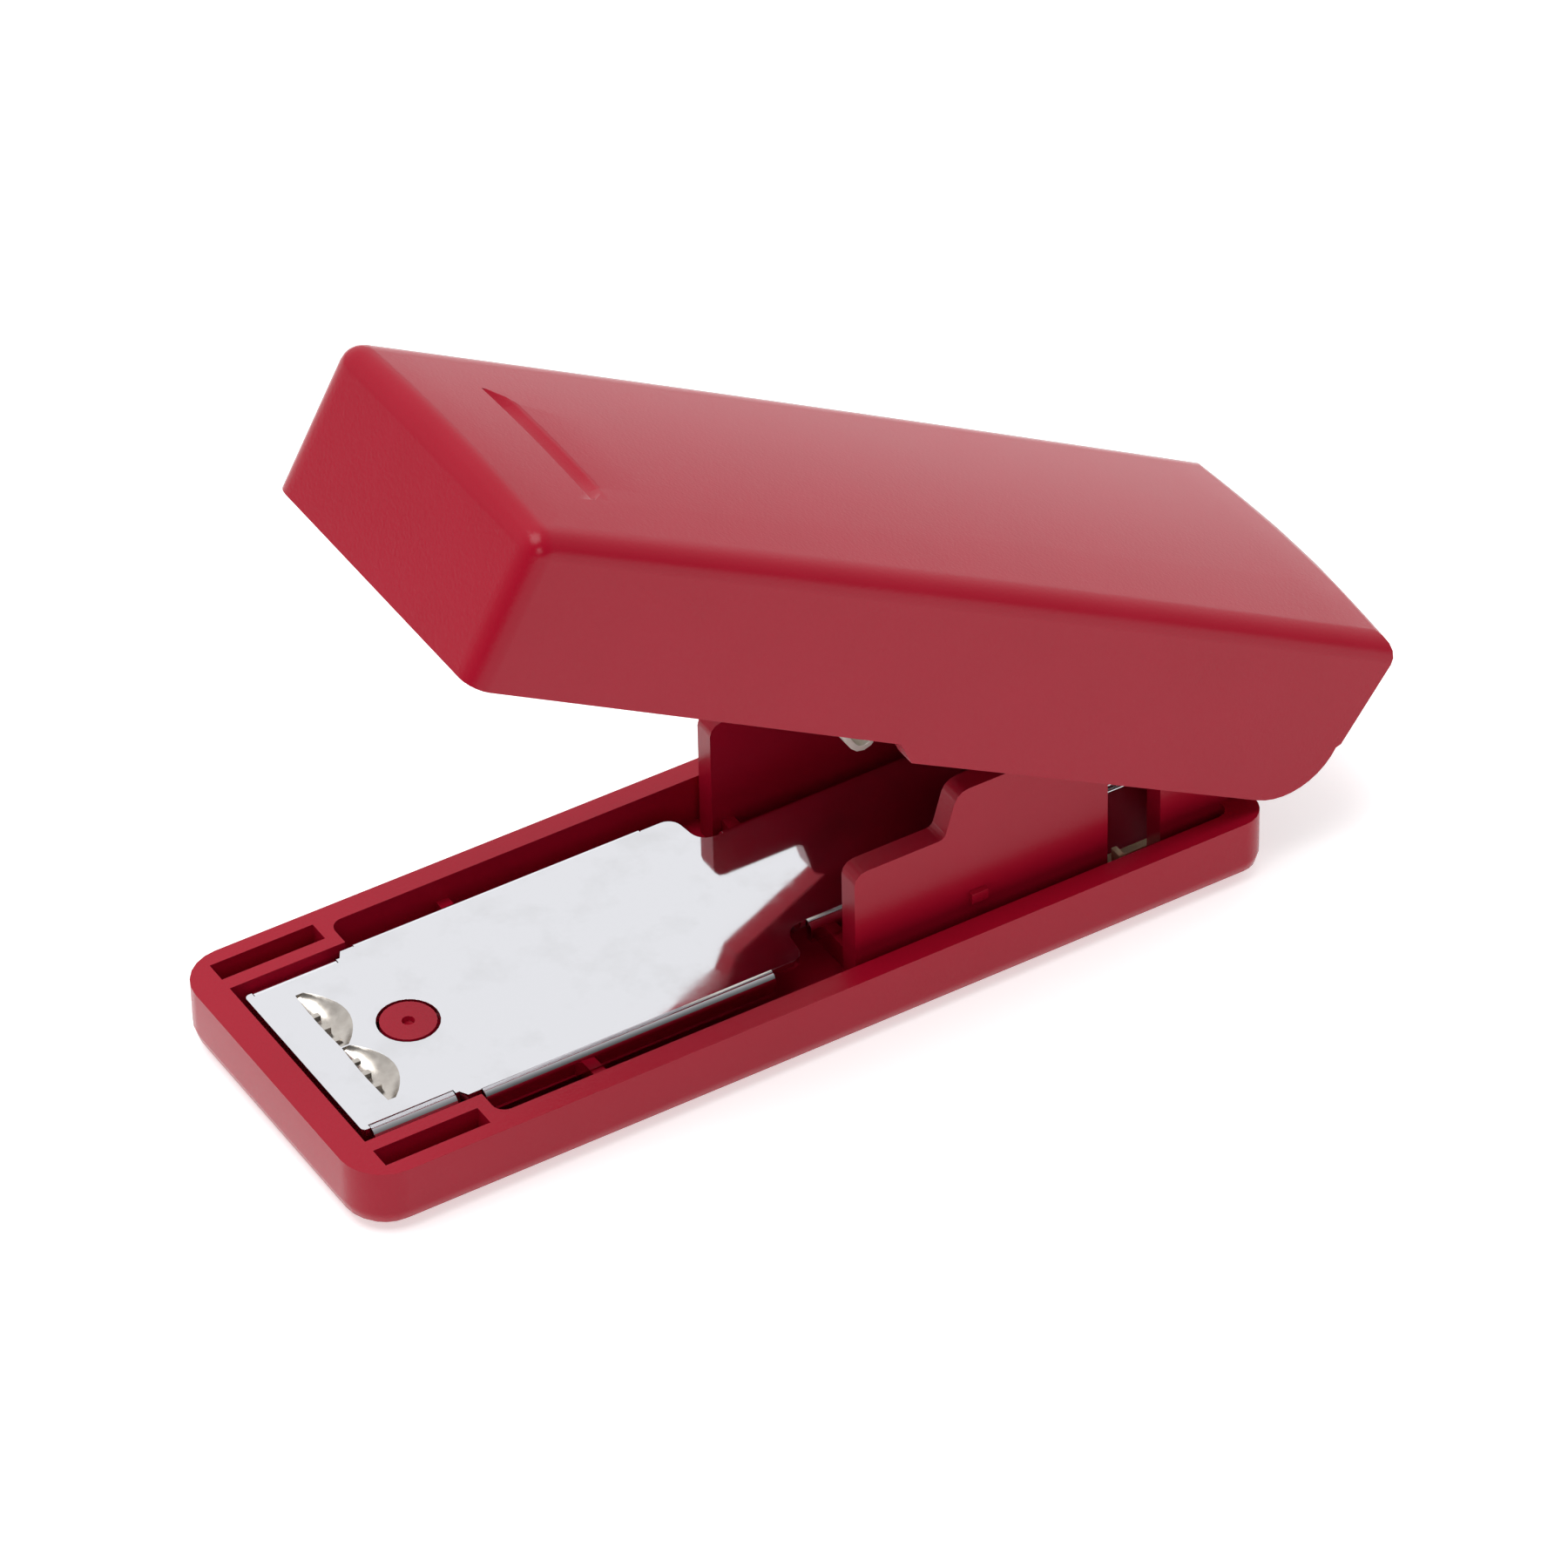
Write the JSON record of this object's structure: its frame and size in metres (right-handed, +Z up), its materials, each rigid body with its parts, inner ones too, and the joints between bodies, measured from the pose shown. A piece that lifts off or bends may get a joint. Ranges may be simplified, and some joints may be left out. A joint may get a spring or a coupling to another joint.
{
  "type": "stapler",
  "caption": "Small office stapler: plastic base with a metal anvil plate, a hinged steel magazine inside a hinged plastic cover, resting open with its nose up.",
  "frame": {"origin": "centre of the flat underside of the base", "axes": "+X along the length towards the hinge end, with the stapling end at -X; +Y across the width; +Z up"},
  "size_m": [0.0691, 0.0222, 0.0437],
  "materials": {
    "crimson_plastic": "moulded crimson plastic, semi-gloss with a fine satin grain",
    "chrome_plate": "bright plated sheet steel",
    "zinc_steel": "zinc plated sheet steel",
    "spring_steel": "bright drawn spring steel",
    "brass": "pale brass sheet",
    "black_plastic": "black moulded plastic"
  },
  "bodies": {
    "base": {"base_tray": "crimson_plastic", "anvil_plate": "chrome_plate", "hinge_pin": "zinc_steel", "return_spring": "spring_steel", "spring_anchor": "brass"},
    "magazine": {"magazine_channel": "zinc_steel", "nose_plate": "zinc_steel", "staple_rail": "zinc_steel", "guide_rod": "spring_steel", "rod_block": "black_plastic", "staple_strip": "chrome_plate", "pusher_spring": "spring_steel", "leaf_spring": "spring_steel", "leaf_rivet": "zinc_steel"},
    "pusher": {"pusher": "black_plastic"},
    "cover": {"cover_shell": "crimson_plastic", "handle_frame": "zinc_steel", "driver_blade": "spring_steel", "driver_rivet_left": "zinc_steel", "driver_rivet_right": "zinc_steel"}
  },
  "joints": [
    {"name": "magazine_hinge", "type": "hinge", "parent": "base", "child": "magazine", "pos_m": [0.0295, 0, 0.0093], "axis": [0, 1, 0], "range_deg": [-32.1, 0], "stiffness_Nm_per_rad": 0.02, "springref_deg": 68.75, "deforming": ["return_spring", "leaf_spring"]},
    {"name": "cover_hinge", "type": "hinge", "parent": "magazine", "child": "cover", "pos_m": [0.0295, 0, 0.0093], "axis": [0, 1, 0], "range_deg": [0, 20]},
    {"name": "pusher_slide", "type": "slide", "parent": "magazine", "child": "pusher", "axis": [0.8471, 0, -0.5314], "range_m": [0, 0.016], "stiffness_N_per_m": 15, "springref_m": -0.02, "deforming": ["pusher_spring"]}
  ]
}
